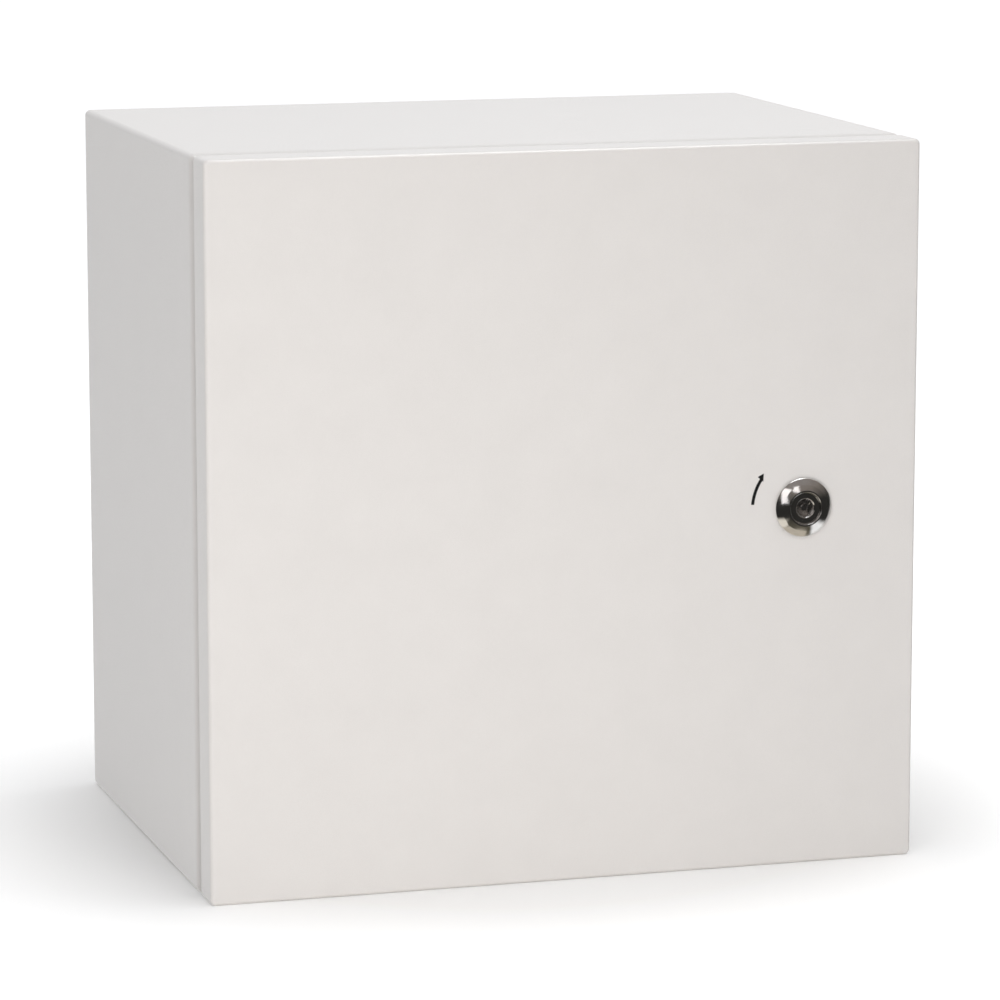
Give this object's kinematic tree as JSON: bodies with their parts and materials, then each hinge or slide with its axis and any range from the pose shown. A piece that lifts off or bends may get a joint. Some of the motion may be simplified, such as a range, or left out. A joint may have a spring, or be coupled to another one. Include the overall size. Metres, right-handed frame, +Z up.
{
  "type": "outdoor equipment enclosure",
  "caption": "Wall-mounted steel cabinet with a flush hinged door, sealed gutter rim, quarter-turn lock, mounting plate and gland plate.",
  "frame": {"origin": "on the floor, under the middle of the cabinet with its lock", "axes": "+Z up, +Y from the door to the wall, +X to the right seen from the front"},
  "size_m": [0.4, 0.3054, 0.4],
  "materials": {
    "painted_steel": "light grey powder coat, satin, very fine texture",
    "galvanised_steel": "bright galvanised sheet",
    "zinc_plated_steel": "bright zinc plated",
    "chrome": "polished chrome plate on die-cast zinc",
    "foamed_seal": "foamed polyurethane, matt",
    "black_rubber": "matt rubber"
  },
  "bodies": {
    "enclosure": {"body_wrap": "painted_steel", "rim_frame": "painted_steel", "rear_panel": "painted_steel", "mounting_plate": "galvanised_steel", "mounting_plate_studs": "zinc_plated_steel", "mounting_plate_spacers": "zinc_plated_steel", "mounting_plate_nuts": "zinc_plated_steel", "gland_plate": "galvanised_steel", "gland_plate_seal": "black_rubber", "gland_plate_studs": "zinc_plated_steel", "gland_plate_nuts": "zinc_plated_steel", "body_earth_stud": "zinc_plated_steel", "body_earth_nut": "zinc_plated_steel", "hinge_bracket_lower": "zinc_plated_steel", "hinge_bracket_upper": "zinc_plated_steel", "hinge_bracket_screws": "zinc_plated_steel"},
    "door": {"door_panel": "painted_steel", "door_seal": "foamed_seal", "door_rail_left": "painted_steel", "door_rail_right": "painted_steel", "hinge_leaf_lower": "zinc_plated_steel", "hinge_leaf_upper": "zinc_plated_steel", "hinge_pin_lower": "zinc_plated_steel", "hinge_pin_upper": "zinc_plated_steel", "door_earth_stud": "zinc_plated_steel", "door_earth_nut": "zinc_plated_steel", "lock_housing": "chrome", "lock_seal": "black_rubber", "lock_nut": "zinc_plated_steel"},
    "lock": {"lock_spindle": "chrome", "lock_cam": "zinc_plated_steel", "cam_washer": "zinc_plated_steel", "cam_screw": "zinc_plated_steel"}
  },
  "joints": [
    {"name": "door_swing", "type": "hinge", "parent": "enclosure", "child": "door", "pos_m": [-0.192, -0.1373, 0.2], "axis": [0, 0, -1], "range_deg": [0, 120]},
    {"name": "lock_turn", "type": "hinge", "parent": "door", "child": "lock", "pos_m": [0.134, -0.1473, 0.2], "axis": [0, -1, 0], "range_deg": [0, 90]}
  ]
}
